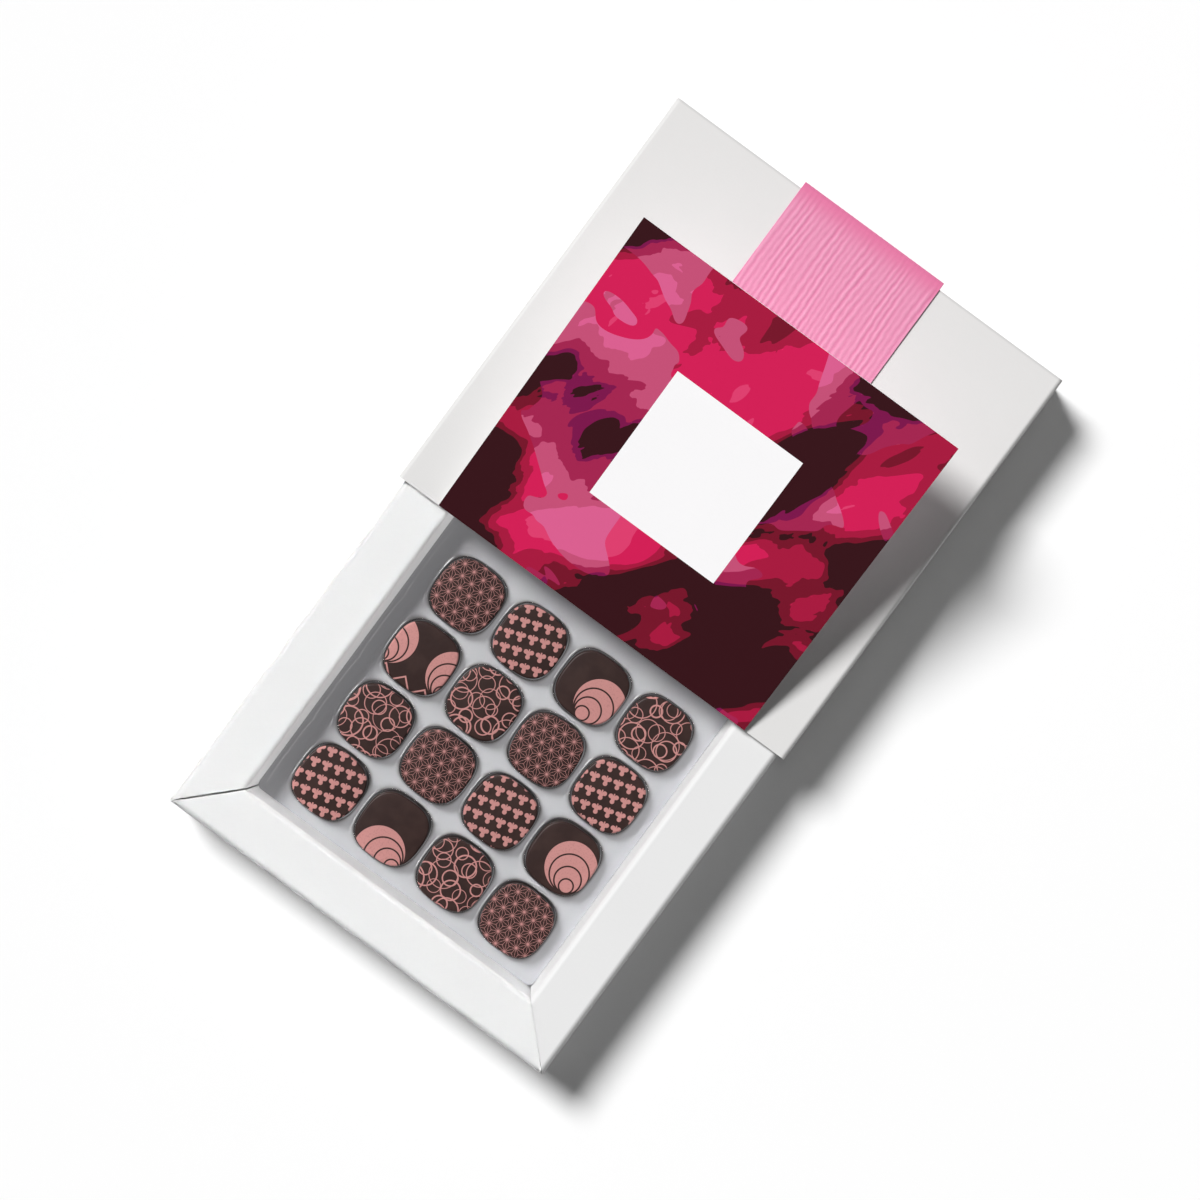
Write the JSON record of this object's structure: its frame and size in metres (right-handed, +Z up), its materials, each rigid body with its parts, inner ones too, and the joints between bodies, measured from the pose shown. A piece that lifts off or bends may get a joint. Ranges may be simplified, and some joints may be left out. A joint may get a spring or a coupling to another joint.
{
  "type": "chocolate box",
  "caption": "Flat board chocolate box: a tray of chocolates in a clear insert slides out of a sleeve with a hinged printed card and a wide ribbon over its back edge.",
  "frame": {"origin": "centre of the sleeve's bottom face, which the box rests on", "axes": "+Z up, the tray slides out towards -Y, +X to the right seen from the front"},
  "size_m": [0.135, 0.247, 0.055],
  "materials": {
    "sleeve_board": "matte white paper-faced board",
    "tray_board": "matte white paper-faced board",
    "printed_card": "satin print on card",
    "ribbon": "crepe, lengthwise ribs",
    "insert_film": "clear thermoformed film",
    "chocolate": "satin dark chocolate with a printed top"
  },
  "bodies": {
    "sleeve": {"sleeve_shell": "sleeve_board", "sleeve_back_panel": "sleeve_board", "card_tab": "sleeve_board", "ribbon": "ribbon"},
    "tray": {"tray_floor": "tray_board", "tray_front_rail": "tray_board", "tray_back_rail": "tray_board", "tray_left_rail": "tray_board", "tray_right_rail": "tray_board", "insert_tray": "insert_film"},
    "card": {"printed_card": "printed_card"},
    "chocolate_a1": {"chocolate_a1": "chocolate"},
    "chocolate_a2": {"chocolate_a2": "chocolate"},
    "chocolate_a3": {"chocolate_a3": "chocolate"},
    "chocolate_a4": {"chocolate_a4": "chocolate"},
    "chocolate_b1": {"chocolate_b1": "chocolate"},
    "chocolate_b2": {"chocolate_b2": "chocolate"},
    "chocolate_b3": {"chocolate_b3": "chocolate"},
    "chocolate_b4": {"chocolate_b4": "chocolate"},
    "chocolate_c1": {"chocolate_c1": "chocolate"},
    "chocolate_c2": {"chocolate_c2": "chocolate"},
    "chocolate_c3": {"chocolate_c3": "chocolate"},
    "chocolate_c4": {"chocolate_c4": "chocolate"},
    "chocolate_d1": {"chocolate_d1": "chocolate"},
    "chocolate_d2": {"chocolate_d2": "chocolate"},
    "chocolate_d3": {"chocolate_d3": "chocolate"},
    "chocolate_d4": {"chocolate_d4": "chocolate"}
  },
  "joints": [
    {"name": "tray_slide", "type": "slide", "parent": "sleeve", "child": "tray", "axis": [0, -1, 0], "range_m": [-0.1124, 0.0156]},
    {"name": "card_crease", "type": "hinge", "parent": "sleeve", "child": "card", "pos_m": [0, -0.0662, 0.0248], "axis": [1, 0, 0], "range_deg": [-17, 70]},
    {"name": "chocolate_a1_lift", "type": "slide", "parent": "tray", "child": "chocolate_a1", "axis": [0, 0, 1], "range_m": [0, 0.03]},
    {"name": "chocolate_a2_lift", "type": "slide", "parent": "tray", "child": "chocolate_a2", "axis": [0, 0, 1], "range_m": [0, 0.03]},
    {"name": "chocolate_a3_lift", "type": "slide", "parent": "tray", "child": "chocolate_a3", "axis": [0, 0, 1], "range_m": [0, 0.03]},
    {"name": "chocolate_a4_lift", "type": "slide", "parent": "tray", "child": "chocolate_a4", "axis": [0, 0, 1], "range_m": [0, 0.03]},
    {"name": "chocolate_b1_lift", "type": "slide", "parent": "tray", "child": "chocolate_b1", "axis": [0, 0, 1], "range_m": [0, 0.03]},
    {"name": "chocolate_b2_lift", "type": "slide", "parent": "tray", "child": "chocolate_b2", "axis": [0, 0, 1], "range_m": [0, 0.03]},
    {"name": "chocolate_b3_lift", "type": "slide", "parent": "tray", "child": "chocolate_b3", "axis": [0, 0, 1], "range_m": [0, 0.03]},
    {"name": "chocolate_b4_lift", "type": "slide", "parent": "tray", "child": "chocolate_b4", "axis": [0, 0, 1], "range_m": [0, 0.03]},
    {"name": "chocolate_c1_lift", "type": "slide", "parent": "tray", "child": "chocolate_c1", "axis": [0, 0, 1], "range_m": [0, 0.03]},
    {"name": "chocolate_c2_lift", "type": "slide", "parent": "tray", "child": "chocolate_c2", "axis": [0, 0, 1], "range_m": [0, 0.03]},
    {"name": "chocolate_c3_lift", "type": "slide", "parent": "tray", "child": "chocolate_c3", "axis": [0, 0, 1], "range_m": [0, 0.03]},
    {"name": "chocolate_c4_lift", "type": "slide", "parent": "tray", "child": "chocolate_c4", "axis": [0, 0, 1], "range_m": [0, 0.03]},
    {"name": "chocolate_d1_lift", "type": "slide", "parent": "tray", "child": "chocolate_d1", "axis": [0, 0, 1], "range_m": [0, 0.03]},
    {"name": "chocolate_d2_lift", "type": "slide", "parent": "tray", "child": "chocolate_d2", "axis": [0, 0, 1], "range_m": [0, 0.03]},
    {"name": "chocolate_d3_lift", "type": "slide", "parent": "tray", "child": "chocolate_d3", "axis": [0, 0, 1], "range_m": [0, 0.03]},
    {"name": "chocolate_d4_lift", "type": "slide", "parent": "tray", "child": "chocolate_d4", "axis": [0, 0, 1], "range_m": [0, 0.03]}
  ]
}
